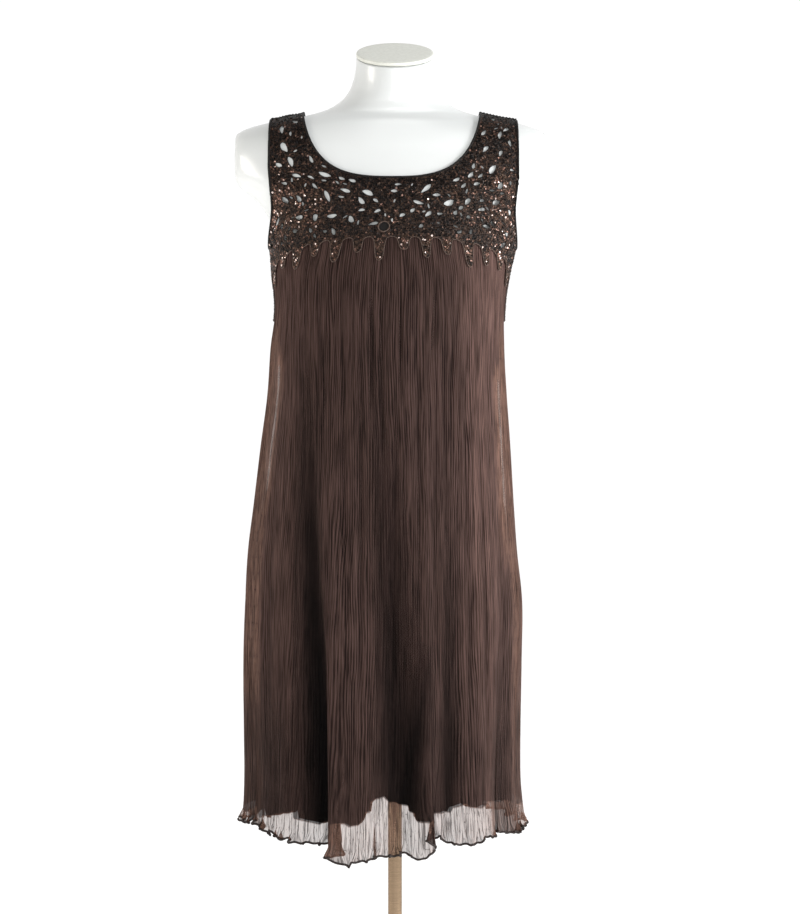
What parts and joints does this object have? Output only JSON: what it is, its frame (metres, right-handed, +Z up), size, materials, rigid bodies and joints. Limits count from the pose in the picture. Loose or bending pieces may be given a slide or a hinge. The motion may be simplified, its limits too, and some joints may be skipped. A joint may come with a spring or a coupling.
{
  "type": "cocktail dress on a dress form",
  "caption": "Sleeveless chiffon cocktail dress with a cutwork yoke, fingered yoke edge and ruffled hem, on a limbless dress form with pole stand.",
  "frame": {"origin": "middle of the underside of the base plate", "axes": "+Z up along the pole, -Y the front of the dress, +X the wearer's left side"},
  "size_m": [0.41, 0.41, 1.514],
  "materials": {
    "chiffon": "sheer crinkled chiffon",
    "lining": "smooth opaque lining",
    "yoke": "openwork with sequins",
    "binding": "rolled bias binding",
    "sequins": "bronze sequins and cord",
    "form": "glossy white shell",
    "cap": "satin",
    "stand": "warm brushed steel"
  },
  "bodies": {
    "root": {"yoke_front": "yoke", "yoke_back": "yoke", "skirt_front": "chiffon", "skirt_back": "chiffon", "lining_front": "lining", "lining_back": "lining", "neck_binding": "binding", "armhole_binding_left": "binding", "armhole_binding_right": "binding", "shoulder_tape_left": "binding", "shoulder_tape_right": "binding", "form_torso": "form", "neck_cap": "cap", "pole": "stand", "form_collar": "stand", "base_collar": "stand", "base_plate": "stand"}
  },
  "joints": []
}
